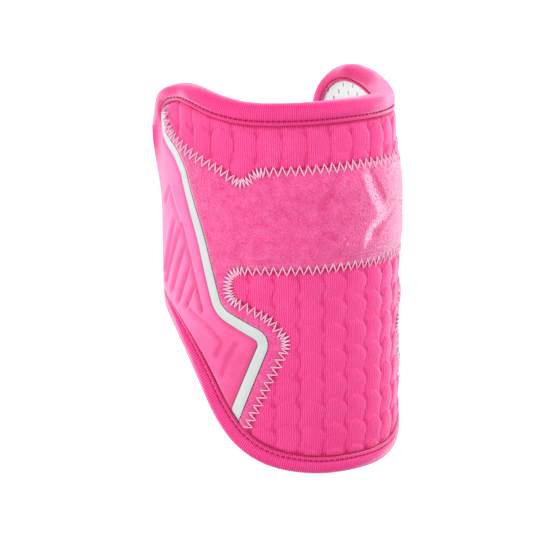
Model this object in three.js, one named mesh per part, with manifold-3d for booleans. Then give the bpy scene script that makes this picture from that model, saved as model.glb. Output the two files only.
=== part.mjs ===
// Batter's elbow guard: a padded, moulded half sleeve round the outside of the elbow, with a strap behind.
// Millimetres, +Z up. The guard lies face up on its two rear edges, the arm along Y and the top end at +Y.
//
// Each panel is laid out flat first, as it is cut: u runs round the arm from the front centre line, v runs up
// the arm from the lowest edge, and n is the height above the face of the loop frame. The flat panels are
// then wrapped round the arm. Both halves are alike, so the tables below give the half with positive u.

import * as THREE from 'three';
import { mergeVertices } from 'three/addons/utils/BufferGeometryUtils.js';
import Module from 'manifold-3d';

const wasm = await Module();
wasm.setup();

// Driving dimensions
const shellRadius = 56.5;      // arm axis to the face of the loop frame
const restDrop = 33.3;         // arm axis down to the surface that the rear edges lie on
const gap = 0.3;               // clearance between neighbouring pieces

// Heights above the face of the loop frame
const knitCrest = -1.8;        // top of a quilted puff
const knitGroove = -2.9;       // bottom of the groove between puffs
const ribRise = 1.0;
const stripeRise = 0.3;
const stripeThick = 1.5;       // how deep the stripe reaches into its groove
const stripeDepth = 2.2;       // depth of the groove
const edgeSeat = -3.2;         // panels are skived down to this height under the binding
const padBack = -7.7;
const liningOuter = -8.1;
const liningInner = -9.1;

// Quilting of the knit
const puffWidth = 10;
const puffHeight = 9.5;

// Departures from a plain cylinder, each eased over a span of v and of the angle or distance round the arm:
// the front of the top rim leans in, the lower end tapers, the edges of the two rear lobes curl out,
// and the lower arms of the loop frame lie lower than its band
const rimLean = { by: -2.5, vFrom: 128, vTo: 174, angleFrom: 95, angleTo: 118 };
const lowerTaper = { by: -0.4, vFrom: 40, vTo: 90 };
const lobeCurl = { by: 5.3, vFrom: 112, vTo: 150, angleFrom: 98, angleTo: 118, reach: 8 };
const armDrop = { by: -1.2, vFrom: 62, vTo: 92, uFrom: 60, uTo: 90 };

// Edge of the wall, from the top front centre, over the rear lobe, down the rear edge to the bottom centre;
// w is the width of the binding tape there
const edgeRows = [
  { u: 0, v: 169.8, w: 8.2 },
  { u: 31, v: 169.4, w: 8.2 },
  { u: 54.5, v: 169.7, w: 8.2 },
  { u: 70.5, v: 172, w: 8.3 },
  { u: 85, v: 175, w: 8.5 },
  { u: 98, v: 175.6, w: 8.5 },
  { u: 111, v: 171.8, w: 8.5 },
  { u: 119.2, v: 163.4, w: 8.5 },
  { u: 122.8, v: 150, w: 8.5 },
  { u: 126.2, v: 122, w: 8.7 },
  { u: 127.5, v: 92, w: 9.2 },
  { u: 126.6, v: 78.4, w: 9.8 },
  { u: 118.6, v: 70, w: 10.3 },
  { u: 104.2, v: 62.2, w: 10.5 },
  { u: 93, v: 53, w: 10.5 },
  { u: 82.2, v: 40.3, w: 10.3 },
  { u: 71.6, v: 24.9, w: 9.6 },
  { u: 60.4, v: 13.3, w: 8.6 },
  { u: 45.6, v: 5.2, w: 7.7 },
  { u: 24, v: 0.6, w: 7.3 },
  { u: 0, v: -0.3, w: 7.3 },
];

// Seam between the upper knit panel and the loop frame, r is the corner radius
const upperSeamRows = [
  { u: 0, v: 141.5, r: 0 },
  { u: 47.5, v: 140.3, r: 6 },
  { u: 55, v: 134, r: 3.5 },
  { u: 66, v: 141.6, r: 10 },
  { u: 88, v: 150, r: 15 },
  { u: 98, v: 156.5, r: 10 },
  { u: 107, v: 185, r: 0 },
];

// Seam between the lower knit panel and the loop frame
const lowerSeamRows = [
  { u: 0, v: 95.5, r: 0 },
  { u: 62.3, v: 95, r: 6.5 },
  { u: 62.3, v: 81.5, r: 6 },
  { u: 44, v: 74, r: 8 },
  { u: 35, v: 64, r: 6.5 },
  { u: 74, v: -16, r: 0 },
];

// Centre line of the inlaid stripe, from the rear binding down to the lower binding, w is its width
const stripeRows = [
  { u: 116, v: 153.5, r: 0, w: 3.6 },
  { u: 97, v: 147.5, r: 10, w: 3.6 },
  { u: 89, v: 139.5, r: 14, w: 3.8 },
  { u: 68.2, v: 76.5, r: 12, w: 4.2 },
  { u: 45.6, v: 65.5, r: 5.5, w: 4.6 },
  { u: 65, v: 19.6, r: 0, w: 5.2 },
];

// Raised ribs of the wing pad, each from one end to the other
const ribWidth = 3.2;
const ribRows = [
  { u0: 89.5, v0: 114, u1: 77.5, v1: 76 },
  { u0: 97, v0: 115, u1: 108, v1: 96 },
  { u0: 92.5, v0: 109, u1: 106, v1: 86 },
  { u0: 88, v0: 101, u1: 101, v1: 79 },
  { u0: 84, v0: 93, u1: 93.5, v1: 77 },
  { u0: 85, v0: 71.5, u1: 67, v1: 58.5 },
  { u0: 61.5, v0: 60, u1: 67, v1: 45 },
];

// Section of the rolled binding: d is the distance in from the edge, and a channel holds the panels
const tapeWidth = 8;           // the rows below are for this width, and stretch with w
const channelFloor = 5.6;
const channelClear = 0.5;      // the panels stop this far short of the channel's floor
const lipRound = 0.4;
const outerLegFace = edgeSeat + gap;
const innerLegFace = liningInner - gap;
const tapeRows = [
  { d: tapeWidth, n: outerLegFace },
  { d: tapeWidth - lipRound, n: -1.7 },
  { d: 5, n: -1.3 },
  { d: 1.6, n: -1.6 },
  { d: -0.6, n: -3.6 },
  { d: -1.1, n: -6 },
  { d: -0.6, n: -8.4 },
  { d: 1.6, n: -10.2 },
  { d: 5, n: -10.6 },
  { d: tapeWidth, n: -10.4 },
  { d: tapeWidth, n: innerLegFace },
  { d: channelFloor, n: innerLegFace },
  { d: channelFloor, n: outerLegFace },
];

// Elastic strap across the open back: its ends lie inside the rear edges, on the lining and the binding
const strapWidth = 40;
const strapThick = 2;
const strapLow = 95;           // lower edge, level with the lower edge of the centre band
const strapRows = [
  { angle: 96, radius: 46.1 },
  { angle: 104, radius: 46.1 },
  { angle: 111, radius: 45.6 },
  { angle: 118, radius: 44.4 },
  { angle: 126, radius: 44.3 },
  { angle: 130.5, radius: 43.8 },
  { angle: 135.5, radius: 40.6 },
  { angle: 180, radius: 29 },
];

// Fineness of the solids
const bendCells = { uStep: 8, vStep: 13 };                              // cells of a smooth panel
const quiltCells = { uStep: puffWidth / 2, vStep: puffHeight / 2 };     // cells of a quilted panel
const cornerStep = 0.45;       // radians of turn in each chord of a rounded corner
const ribEndSteps = 3;
const mergeDistance = 1e-4;

// The flat blocks that the panels are cut from, and how far cutting shapes reach past what they cut
const blockReach = { u: 132, vLow: -4, vHigh: 178 };
const nearPast = 10;
const farPast = 30;

const wallLoop = edgeLoop(2);

function smooth(low, high, value) {
  return THREE.MathUtils.smoothstep(value, low, high);
}

// How far the shell departs from the plain cylinder; clear is the distance in from the edge of the wall
function departure(u, v, clear) {
  const angle = Math.abs(THREE.MathUtils.radToDeg(u / shellRadius));
  const inFront = 1 - smooth(rimLean.angleFrom, rimLean.angleTo, angle);
  const lean = rimLean.by * smooth(rimLean.vFrom, rimLean.vTo, v) * inFront;
  const taper = lowerTaper.by * (1 - smooth(lowerTaper.vFrom, lowerTaper.vTo, v));
  const behind = smooth(lobeCurl.angleFrom, lobeCurl.angleTo, angle);
  const atEdge = 1 - smooth(0, lobeCurl.reach, clear);
  const curl = lobeCurl.by * smooth(lobeCurl.vFrom, lobeCurl.vTo, v) * behind * atEdge;
  return lean + taper + curl;
}

function wrapPoint(u, v, n) {
  const angle = u / shellRadius;
  const radius = shellRadius + departure(u, v, edgeDistance(u, v)) + n;
  return [radius * Math.sin(angle), v, radius * Math.cos(angle)];
}

// Outlines in the flat

// The whole edge, counter-clockwise, with the width of the tape as the third coordinate
function edgeLoop(stepsPerRow) {
  const half = edgeRows.map(({ u, v, w }) => new THREE.Vector3(u, v, w));
  const mirrored = half.slice(1, -1).reverse().map((p) => new THREE.Vector3(-p.x, p.y, p.z));
  const rows = [...half, ...mirrored].reverse();
  const curve = new THREE.CatmullRomCurve3(rows, true, 'centripetal');
  return curve.getPoints(rows.length * stepsPerRow).slice(0, -1);
}

// Distance in from the edge, and 0 on it and outside it
function edgeDistance(u, v) {
  const here = new THREE.Vector2(u, v);
  const nearest = new THREE.Vector2();
  let least = Infinity;
  wallLoop.forEach((from, i) => {
    const to = wallLoop[(i + 1) % wallLoop.length];
    const along = new THREE.Vector2(to.x - from.x, to.y - from.y);
    const share = ((u - from.x) * along.x + (v - from.y) * along.y) / along.lengthSq();
    const part = THREE.MathUtils.clamp(share, 0, 1);
    nearest.set(from.x + along.x * part, from.y + along.y * part);
    const inside = along.cross(here.clone().sub(nearest)) >= 0;
    const distance = here.distanceTo(nearest);
    if (distance < Math.abs(least)) least = inside ? distance : -distance;
  });
  return Math.max(0, least);
}

// Normals that point to the left of the way a line runs, which is inwards on a counter-clockwise loop
function leftNormals(points, closed) {
  const count = points.length;
  const around = (i) => points[(i + count) % count];
  const clamped = (i) => points[THREE.MathUtils.clamp(i, 0, count - 1)];
  const neighbour = closed ? around : clamped;
  return points.map((point, i) => {
    const before = neighbour(i - 1);
    const after = neighbour(i + 1);
    return new THREE.Vector2(before.y - after.y, after.x - before.x).normalize();
  });
}

// The edge moved in by a distance, and by a share of the tape's width
function insetEdge(distance, tapeShare = 0) {
  const normals = leftNormals(wallLoop, true);
  return wallLoop.map((p, i) => {
    const inwards = distance + tapeShare * p.z;
    return new THREE.Vector2(p.x + normals[i].x * inwards, p.y + normals[i].y * inwards);
  });
}

// A line with rounded corners; each point carries the width given in the rows
function roundedLine(rows) {
  const points = [];
  const put = (p, w) => points.push(Object.assign(new THREE.Vector2(p.x, p.y), { w }));
  put(new THREE.Vector2(rows[0].u, rows[0].v), rows[0].w);
  for (let i = 1; i < rows.length - 1; i++) {
    const corner = new THREE.Vector2(rows[i].u, rows[i].v);
    const back = new THREE.Vector2(rows[i - 1].u, rows[i - 1].v).sub(corner).normalize();
    const on = new THREE.Vector2(rows[i + 1].u, rows[i + 1].v).sub(corner).normalize();
    const halfAngle = Math.acos(back.dot(on)) / 2;
    const centre = back.clone().add(on).setLength(rows[i].r / Math.sin(halfAngle)).add(corner);
    const reach = rows[i].r / Math.tan(halfAngle);
    const from = back.multiplyScalar(reach).add(corner).sub(centre).angle();
    const to = on.multiplyScalar(reach).add(corner).sub(centre).angle();
    const turn = Math.atan2(Math.sin(to - from), Math.cos(to - from));
    const steps = Math.max(2, Math.round(Math.abs(turn) / cornerStep));
    for (let k = 0; k <= steps; k++) {
      const angle = from + (turn * k) / steps;
      const arm = new THREE.Vector2(Math.cos(angle), Math.sin(angle)).multiplyScalar(rows[i].r);
      put(arm.add(centre), rows[i].w);
    }
  }
  const end = rows[rows.length - 1];
  put(new THREE.Vector2(end.u, end.v), end.w);
  return points;
}

function mirror(points) {
  return points.map((p) => new THREE.Vector2(-p.x, p.y)).reverse();
}

// The area on one side of a seam that crosses both halves
function seamArea(rows, distance) {
  const half = roundedLine(rows);
  const whole = [...mirror(half), ...half.slice(1)];
  const normals = leftNormals(whole, false);
  return whole.map((p, i) => p.clone().addScaledVector(normals[i], distance));
}

// The stripe's own area, grown by a clearance
function stripeArea(side, grow) {
  const line = roundedLine(stripeRows);
  const normals = leftNormals(line, false);
  const sideOf = (sign) => line.map((p, i) => p.clone().addScaledVector(normals[i], sign * (p.w / 2 + grow)));
  const area = [...sideOf(1), ...sideOf(-1).reverse()];
  return side > 0 ? area : mirror(area);
}

// The wing's area: everything outside the stripe
function wingArea(side, clear) {
  const line = roundedLine(stripeRows);
  const normals = leftNormals(line, false);
  const outer = line.map((p, i) => p.clone().addScaledVector(normals[i], p.w / 2 + clear));
  const farUp = new THREE.Vector2(outer[0].x + farPast, outer[0].y + nearPast);
  const justDown = new THREE.Vector2(outer.at(-1).x + nearPast, outer.at(-1).y - farPast);
  const farDown = new THREE.Vector2(farUp.x, justDown.y);
  const area = [farUp, ...outer, justDown, farDown];
  return side > 0 ? area : mirror(area);
}

// Solids in the flat

function solidFrom(geometry) {
  const bare = geometry.clone();
  bare.deleteAttribute('normal');
  bare.deleteAttribute('uv');
  const merged = mergeVertices(bare, mergeDistance);
  return new wasm.Manifold(new wasm.Mesh({
    numProp: 3,
    vertProperties: merged.getAttribute('position').array,
    triVerts: new Uint32Array(merged.index.array),
  }));
}

function prism(outline, low, high) {
  const shape = new THREE.Shape(outline);
  const geometry = new THREE.ExtrudeGeometry(shape, { depth: high - low, bevelEnabled: false });
  return solidFrom(geometry.translate(0, 0, low));
}

// A flat block of cells, so that it can bend; faceAt and backAt give the heights of its two faces
function cellBlock({ uStep, vStep }, faceAt, backAt) {
  const columns = 2 * Math.ceil(blockReach.u / uStep);
  const firstRow = Math.floor(blockReach.vLow / vStep);
  const rows = Math.ceil(blockReach.vHigh / vStep) - firstRow;
  const positions = [];
  for (const upper of [true, false]) {
    for (let j = 0; j <= rows; j++) {
      for (let i = 0; i <= columns; i++) {
        const u = (i - columns / 2) * uStep;
        const v = (firstRow + j) * vStep;
        positions.push(u, v, upper ? faceAt(u, v) : backAt(u, v));
      }
    }
  }
  const layer = (columns + 1) * (rows + 1);
  const at = (i, j, upper) => (upper ? 0 : layer) + j * (columns + 1) + i;
  const triangles = [];
  const quad = (a, b, c, d) => triangles.push(a, b, c, a, c, d);
  for (let j = 0; j < rows; j++) {
    for (let i = 0; i < columns; i++) {
      quad(at(i, j, true), at(i + 1, j, true), at(i + 1, j + 1, true), at(i, j + 1, true));
      quad(at(i, j, false), at(i, j + 1, false), at(i + 1, j + 1, false), at(i + 1, j, false));
    }
    quad(at(0, j, true), at(0, j + 1, true), at(0, j + 1, false), at(0, j, false));
    quad(at(columns, j, false), at(columns, j + 1, false), at(columns, j + 1, true), at(columns, j, true));
  }
  for (let i = 0; i < columns; i++) {
    quad(at(i, 0, false), at(i + 1, 0, false), at(i + 1, 0, true), at(i, 0, true));
    quad(at(i, rows, true), at(i + 1, rows, true), at(i + 1, rows, false), at(i, rows, false));
  }
  return new wasm.Manifold(new wasm.Mesh({
    numProp: 3,
    vertProperties: new Float32Array(positions),
    triVerts: new Uint32Array(triangles),
    faceID: Uint32Array.from({ length: triangles.length / 3 }, (_, i) => Math.floor(i / 2)),
  }));
}

function bufferFrom(solid, place) {
  const { vertProperties, triVerts } = solid.getMesh();
  const positions = new Float32Array(vertProperties.length);
  for (let i = 0; i < positions.length; i += 3) {
    positions.set(place(vertProperties[i], vertProperties[i + 1], vertProperties[i + 2]), i);
  }
  const geometry = new THREE.BufferGeometry();
  geometry.setAttribute('position', new THREE.BufferAttribute(positions, 3));
  geometry.setIndex(new THREE.BufferAttribute(new Uint32Array(triVerts), 1));
  geometry.computeVertexNormals();
  return geometry;
}

// Shapes that the panels are cut with
const wallCut = prism(insetEdge(channelClear, channelFloor / tapeWidth), liningInner - farPast, farPast);
const bindingLip = insetEdge(gap, 1);
const insideLip = prism(bindingLip, liningInner - farPast, 2 * farPast);
const skive = prism(insetEdge(-nearPast), edgeSeat, farPast).subtract(insideLip);

function panelCut(area) {
  return prism(area, liningInner - farPast, farPast);
}

// Face of the loop frame and the wing pads
function padFace(u, v) {
  const low = 1 - smooth(armDrop.vFrom, armDrop.vTo, v);
  const inner = 1 - smooth(armDrop.uFrom, armDrop.uTo, Math.abs(u));
  return armDrop.by * low * inner;
}

function padBackAt() {
  return padBack;
}

// Face of the knit: puffs in rows, each row shifted by half a puff, two rows of cells to a puff
function quilt(u, v) {
  const row = Math.floor(Math.round(v / quiltCells.vStep) / 2);
  const shift = (row % 2) / 2;
  const swell = Math.abs(Math.sin(Math.PI * (u / puffWidth + shift)));
  return THREE.MathUtils.lerp(knitGroove, knitCrest, swell);
}

// Panels

function knitPanel(area) {
  const block = cellBlock(quiltCells, quilt, padBackAt);
  return bufferFrom(block.intersect(panelCut(area)).intersect(wallCut).subtract(skive), wrapPoint);
}

function loopFrame() {
  const block = cellBlock(bendCells, padFace, padBackAt);
  let frame = block.intersect(wallCut).subtract(skive);
  frame = frame.subtract(panelCut(upperArea(-gap / 2))).subtract(panelCut(lowerArea(-gap / 2)));
  for (const side of [1, -1]) {
    frame = frame.subtract(panelCut(wingArea(side, 0)));
    frame = frame.subtract(stripeBlock(-stripeDepth, farPast).intersect(panelCut(stripeArea(side, gap))));
  }
  return bufferFrom(frame, wrapPoint);
}

function upperArea(distance) {
  return seamArea(upperSeamRows, distance);
}

function lowerArea(distance) {
  return seamArea(lowerSeamRows, -distance);
}

function wingPad(side) {
  let wing = cellBlock(bendCells, padFace, padBackAt);
  for (const { u0, v0, u1, v1 } of ribRows) {
    const top = padFace((u0 + u1) / 2, (v0 + v1) / 2) + ribRise;
    wing = wing.add(prism(ribOutline(side * u0, v0, side * u1, v1), top - 2 * ribRise, top));
  }
  wing = wing.intersect(panelCut(wingArea(side, gap))).intersect(wallCut).subtract(skive);
  return bufferFrom(wing, wrapPoint);
}

// A bar with round ends
function ribOutline(u0, v0, u1, v1) {
  const along = Math.atan2(v1 - v0, u1 - u0);
  const radius = ribWidth / 2;
  const points = [];
  for (const [u, v, from] of [[u1, v1, along - Math.PI / 2], [u0, v0, along + Math.PI / 2]]) {
    for (let k = 0; k <= ribEndSteps; k++) {
      const angle = from + (Math.PI * k) / ribEndSteps;
      points.push(new THREE.Vector2(u + radius * Math.cos(angle), v + radius * Math.sin(angle)));
    }
  }
  return points;
}

// A layer that follows the pads' face, between two heights above it
function stripeBlock(low, high) {
  return cellBlock(bendCells, (u, v) => padFace(u, v) + high, (u, v) => padFace(u, v) + low);
}

function inlaidStripe(side) {
  const strip = stripeBlock(-stripeThick, stripeRise).intersect(panelCut(stripeArea(side, 0)));
  return bufferFrom(strip.intersect(insideLip), wrapPoint);
}

function meshLining() {
  const block = cellBlock(bendCells, () => liningOuter, () => liningInner);
  return bufferFrom(block.intersect(wallCut), wrapPoint);
}

// The folded tape, swept along the whole edge and pressed flat where the guard rests
function edgeBinding() {
  const normals = leftNormals(wallLoop, true);
  const count = tapeRows.length;
  const positions = [];
  wallLoop.forEach((p, i) => {
    for (const { d, n } of tapeRows) {
      const inwards = (d * p.z) / tapeWidth;
      positions.push(...wrapPoint(p.x + normals[i].x * inwards, p.y + normals[i].y * inwards, n));
    }
  });
  const triangles = [];
  for (let i = 0; i < wallLoop.length; i++) {
    const next = (i + 1) % wallLoop.length;
    for (let k = 0; k < count; k++) {
      const over = (k + 1) % count;
      triangles.push(i * count + k, next * count + over, next * count + k);
      triangles.push(i * count + k, i * count + over, next * count + over);
    }
  }
  const tape = new THREE.BufferGeometry();
  tape.setAttribute('position', new THREE.BufferAttribute(new Float32Array(positions), 3));
  tape.setIndex(triangles);
  const floorBlock = new THREE.BoxGeometry(4 * shellRadius, 4 * shellRadius, farPast);
  floorBlock.translate(0, edgeRows[0].v / 2, -restDrop - farPast / 2);
  const pressed = solidFrom(tape).subtract(solidFrom(floorBlock));
  return bufferFrom(pressed, (x, y, z) => [x, y, z]);
}

// The strap's section is drawn across the arm and runs up the arm for its width
function closureStrap() {
  const half = strapRows.map(({ angle, radius }) => {
    const turn = THREE.MathUtils.degToRad(angle);
    return new THREE.Vector2(radius * Math.sin(turn), radius * Math.cos(turn));
  });
  const line = [...half, ...mirror(half.slice(0, -1))];
  const normals = leftNormals(line, false);
  const face = (sign) => line.map((p, i) => p.clone().addScaledVector(normals[i], (sign * strapThick) / 2));
  const section = new THREE.Shape([...face(1), ...face(-1).reverse()]);
  const geometry = new THREE.ExtrudeGeometry(section, { depth: strapWidth, bevelEnabled: false });
  geometry.rotateX(Math.PI / 2);
  return geometry.translate(0, strapLow + strapWidth, 0);
}

// Finishes
const pinkKnit = new THREE.MeshStandardMaterial({ color: 0xf74d94, roughness: 0.8, metalness: 0 });
const pinkLoop = new THREE.MeshStandardMaterial({ color: 0xf9589c, roughness: 0.95, metalness: 0 });
const pinkPad = new THREE.MeshStandardMaterial({ color: 0xf67eb4, roughness: 0.75, metalness: 0 });
const pinkTape = new THREE.MeshStandardMaterial({ color: 0xef4788, roughness: 0.7, metalness: 0 });
const whiteTrim = new THREE.MeshStandardMaterial({ color: 0xf2f2f0, roughness: 0.45, metalness: 0 });
const whiteMesh = new THREE.MeshStandardMaterial({ color: 0xf0f0f0, roughness: 0.9, metalness: 0 });

const guard = new THREE.Group();

function addPiece(name, geometry, material) {
  const piece = new THREE.Mesh(geometry, material);
  piece.name = name;
  guard.add(piece);
}

addPiece('upper_knit_panel', knitPanel(upperArea(gap / 2)), pinkKnit);
addPiece('lower_knit_panel', knitPanel(lowerArea(gap / 2)), pinkKnit);
addPiece('loop_frame', loopFrame(), pinkLoop);
addPiece('left_wing_pad', wingPad(-1), pinkPad);
addPiece('right_wing_pad', wingPad(1), pinkPad);
addPiece('left_stripe', inlaidStripe(-1), whiteTrim);
addPiece('right_stripe', inlaidStripe(1), whiteTrim);
addPiece('mesh_lining', meshLining(), whiteMesh);
addPiece('edge_binding', edgeBinding(), pinkTape);
addPiece('closure_strap', closureStrap(), pinkTape);

// Set down on the surface, with the middle of its length at the origin
const reach = new THREE.Box3().setFromObject(guard);
guard.position.set(0, -(reach.min.y + reach.max.y) / 2, restDrop);

export default guard;
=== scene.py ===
import math

import bpy
import numpy as np
from mathutils import Matrix, Vector


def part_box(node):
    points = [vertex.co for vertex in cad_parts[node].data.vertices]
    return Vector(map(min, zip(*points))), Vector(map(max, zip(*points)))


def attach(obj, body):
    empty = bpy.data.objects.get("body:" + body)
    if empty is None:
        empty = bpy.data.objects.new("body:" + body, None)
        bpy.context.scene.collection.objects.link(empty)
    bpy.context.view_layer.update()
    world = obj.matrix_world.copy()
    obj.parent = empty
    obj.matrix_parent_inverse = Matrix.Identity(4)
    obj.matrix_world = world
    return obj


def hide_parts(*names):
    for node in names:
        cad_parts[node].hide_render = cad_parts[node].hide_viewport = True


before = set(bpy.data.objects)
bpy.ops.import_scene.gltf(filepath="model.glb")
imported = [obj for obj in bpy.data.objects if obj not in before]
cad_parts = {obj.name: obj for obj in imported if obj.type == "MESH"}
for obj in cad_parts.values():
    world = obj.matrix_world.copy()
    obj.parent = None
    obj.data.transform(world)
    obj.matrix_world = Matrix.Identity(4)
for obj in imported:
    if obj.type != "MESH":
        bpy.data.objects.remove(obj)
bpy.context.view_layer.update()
scene = bpy.context.scene
scene.view_settings.view_transform = "Standard"
mm = 0.001

# The flat pattern, in mm: u runs round the arm from the front centre line, v runs up the arm,
# n is the height above the face of the loop frame. Both halves are alike, apart from the lower seam,
# and rows give the half with u above 0.
pattern = {
    "radius": 56.5,        # arm axis to the face of the loop frame
    "strapLow": 95.0,      # v of the strap's lower edge
    "edgeSeat": -3.2,      # panels lie this low under the binding
    "seatReach": (-0.3, 2.6),                      # from full depth to none, past the binding's lip
    "wall": (0.5, 0.7),    # panels end this far in from the edge: distance, share of the binding's width
    "frontReach": (64, 82),                        # u from and to where the front ends
    "padBack": -7.7,
    "rimLean": (-2.5, 128, 174, 95, 118),          # by, v from, v to, angle from, angle to
    "lowerTaper": (-0.4, 40, 90),                  # by, v from, v to
    "lobeCurl": (5.3, 112, 150, 98, 118, 8),       # by, v from, v to, angle from, angle to, reach
    "lobeSettle": (0.4, 146, 168),                 # share of the curl lost, v from, v to
    "armDrop": (-1.2, 62, 92, 60, 90),             # by, v from, v to, u from, u to
    "edge": [              # u, v, width of the binding
        (0, 169.8, 8.2), (31, 169.4, 8.2), (54.5, 169.7, 8.2), (70.5, 172, 8.2), (85, 174.8, 7.6),
        (99, 175.4, 6.8), (112.8, 171.2, 6.4), (121, 162.6, 6.4), (124.6, 149.8, 7), (127, 122, 8.4),
        (128, 92, 9.2), (126.9, 77.6, 9.8), (119.2, 69.6, 10.3), (103.8, 62.7, 10.5), (92.6, 53.5, 10.5),
        (82.2, 40.3, 10.3), (71.6, 24.9, 9.6), (60.4, 13.3, 8.6), (45.6, 5.2, 7.7), (24, 0.6, 7.3),
        (0, -0.3, 7.3),
    ],
    "rearReach": (7.0, 114, 124, 64, 82, 150, 170),    # by, u from, u to, v from, v to, back from, back to
    "upperSeam": [         # u, v, corner radius
        (0, 141.5, 0), (47.5, 140.3, 6), (55, 134, 3.5), (66, 140.2, 10), (90, 148.5, 20), (102, 152.8, 8),
        (116, 172, 0),
    ],
    "lowerSeam": [
        (0, 95.5, 0), (62.3, 95, 6.5), (62.3, 81.5, 6), (44, 74, 8), (33.6, 62.6, 6.5), (73, -16, 0),
    ],
    "lowerSeamWider": 5.2,  # the lower seam runs this much further round on the right
    "stripeRunOn": 10.0,   # the cut beside a stripe runs on by this u below its end
    "stripe": [            # u, v, corner radius, width
        (112.5, 165, 0, 3.4), (108, 151.5, 5, 3.6), (95.5, 145, 8, 3.8), (88.5, 138, 10, 4),
        (76.5, 108, 60, 4.3), (67.5, 75.3, 12, 4.5), (44.3, 63.6, 5.5, 4.8), (63.4, 19.6, 0, 5.2),
    ],
}
gap = 0.4                  # beside the stripes
seamGap = 0.06             # where panels are sewn together
farPast = 30.0             # how far a cutting outline runs past the guard
pastRear = 150.0           # u past both rear edges
midV = pattern["strapLow"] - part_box("closure_strap")[0].y / mm
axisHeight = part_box("loop_frame")[1].z / mm - pattern["radius"]


# Lines and distances in the flat

def ease(low, high, value):
    t = np.clip((value - low) / (high - low), 0, 1)
    return t * t * (3 - 2 * t)


def closedCurve(rows, steps):  # centripetal curve through the rows
    rows = np.array(rows, float)
    count = len(rows)
    points = []
    for i in range(count):
        p0, p1, p2, p3 = (rows[(i + k) % count] for k in (-1, 0, 1, 2))
        t1 = math.sqrt(np.linalg.norm(p1 - p0))
        t2 = t1 + math.sqrt(np.linalg.norm(p2 - p1))
        t3 = t2 + math.sqrt(np.linalg.norm(p3 - p2))
        for t in np.linspace(t1, t2, steps, endpoint=False):
            a1 = p0 + (p1 - p0) * t / t1
            a2 = p1 + (p2 - p1) * (t - t1) / (t2 - t1)
            a3 = p2 + (p3 - p2) * (t - t2) / (t3 - t2)
            b1 = a1 + (a2 - a1) * t / t2
            b2 = a2 + (a3 - a2) * (t - t1) / (t3 - t1)
            points.append(b1 + (b2 - b1) * (t - t1) / (t2 - t1))
    return np.array(points)


def roundedLine(rows, turnStep=0.12):  # rows hold u, v, corner radius and what rides along
    rows = np.array(rows, float)
    points = [np.delete(rows[0], 2)]
    for before, corner, after in zip(rows, rows[1:], rows[2:]):
        back = (before - corner)[:2] / np.linalg.norm((before - corner)[:2])
        on = (after - corner)[:2] / np.linalg.norm((after - corner)[:2])
        halfAngle = math.acos(back @ on) / 2
        centre = corner[:2] + (back + on) / np.linalg.norm(back + on) * corner[2] / math.sin(halfAngle)
        start, end = (corner[:2] + way * corner[2] / math.tan(halfAngle) - centre for way in (back, on))
        first = math.atan2(start[1], start[0])
        turn = (math.atan2(end[1], end[0]) - first + math.pi) % (2 * math.pi) - math.pi
        steps = max(2, round(abs(turn) / turnStep))
        for k in range(steps + 1):
            angle = first + turn * k / steps
            place = centre + corner[2] * np.array([math.cos(angle), math.sin(angle)])
            points.append(np.concatenate([place, corner[3:]]))
    points.append(np.delete(rows[-1], 2))
    return np.array(points)


def leftNormals(points, closed):
    if closed:
        along = np.roll(points, -1, 0) - np.roll(points, 1, 0)
    else:
        along = np.gradient(points, axis=0)
    normals = np.stack([-along[:, 1], along[:, 0]], 1)
    return normals / np.linalg.norm(normals, axis=1, keepdims=True)


def mirrored(points):
    flipped = points[::-1].copy()
    flipped[:, 0] *= -1
    return flipped


def toSegments(u, v, starts, ends):  # distance to the nearest of many segments, its number, place on it
    best = np.full(len(u), np.inf)
    which = np.zeros(len(u), int)
    part = np.zeros(len(u))
    for i, (a, b) in enumerate(zip(starts, ends)):
        along = b[:2] - a[:2]
        t = ((u - a[0]) * along[0] + (v - a[1]) * along[1]) / max(along @ along, 1e-9)
        t = np.clip(t, 0, 1)
        away = np.hypot(u - a[0] - along[0] * t, v - a[1] - along[1] * t)
        closer = away < best
        best[closer] = away[closer]
        which[closer] = i
        part[closer] = t[closer]
    return best, which, part


edgeLine = closedCurve((pattern["edge"] + [(-u, v, w) for u, v, w in pattern["edge"][-2:0:-1]])[::-1], 4)
edgeInward = leftNormals(edgeLine[:, :2], True)


def insetEdge(distance, share=0.0):  # the edge moved in, by a distance and a share of the binding's width
    return edgeLine[:, :2] + edgeInward * (distance + share * edgeLine[:, 2:3])


def rearReach(u, v):  # along the rear the binding's outer lip reaches further in
    by, uFrom, uTo, vFrom, vTo, backFrom, backTo = pattern["rearReach"]
    return by * ease(uFrom, uTo, np.abs(u)) * ease(vFrom, vTo, v) * (1 - ease(backFrom, backTo, v))


def edgeClear(u, v):  # distance in from the edge, and that of the binding's lip there
    nextRow = np.roll(edgeLine, -1, 0)
    away, which, part = toSegments(u, v, edgeLine, nextRow)
    a, b = edgeLine[which], nextRow[which]
    foot = a + (b - a) * part[:, None]
    cross = (b[:, 0] - a[:, 0]) * (v - foot[:, 1]) - (b[:, 1] - a[:, 1]) * (u - foot[:, 0])
    return np.where(cross >= 0, away, 0), foot[:, 2] + rearReach(foot[:, 0], foot[:, 1])


def lineDistance(u, v, line):
    return toSegments(u, v, line[:-1], line[1:])[0]


def runAlong(points):  # distance run at each point of a line
    return np.concatenate([[0], np.cumsum(np.linalg.norm(np.diff(points, axis=0), axis=1))])


def readAt(at, run, rows):  # rows read off where the distance run is at
    return np.stack([np.interp(at, run, column) for column in rows.T], 1)


def wholeSeam(rows, wider=0.0):
    rightRows = [(u + wider * (u > 0), v, corner) for u, v, corner in rows]
    return np.concatenate([mirrored(roundedLine(rows)), roundedLine(rightRows)[1:]])


upperSeam = wholeSeam(pattern["upperSeam"])
lowerSeam = wholeSeam(pattern["lowerSeam"], pattern["lowerSeamWider"])
stripeLine = roundedLine(pattern["stripe"])


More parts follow.
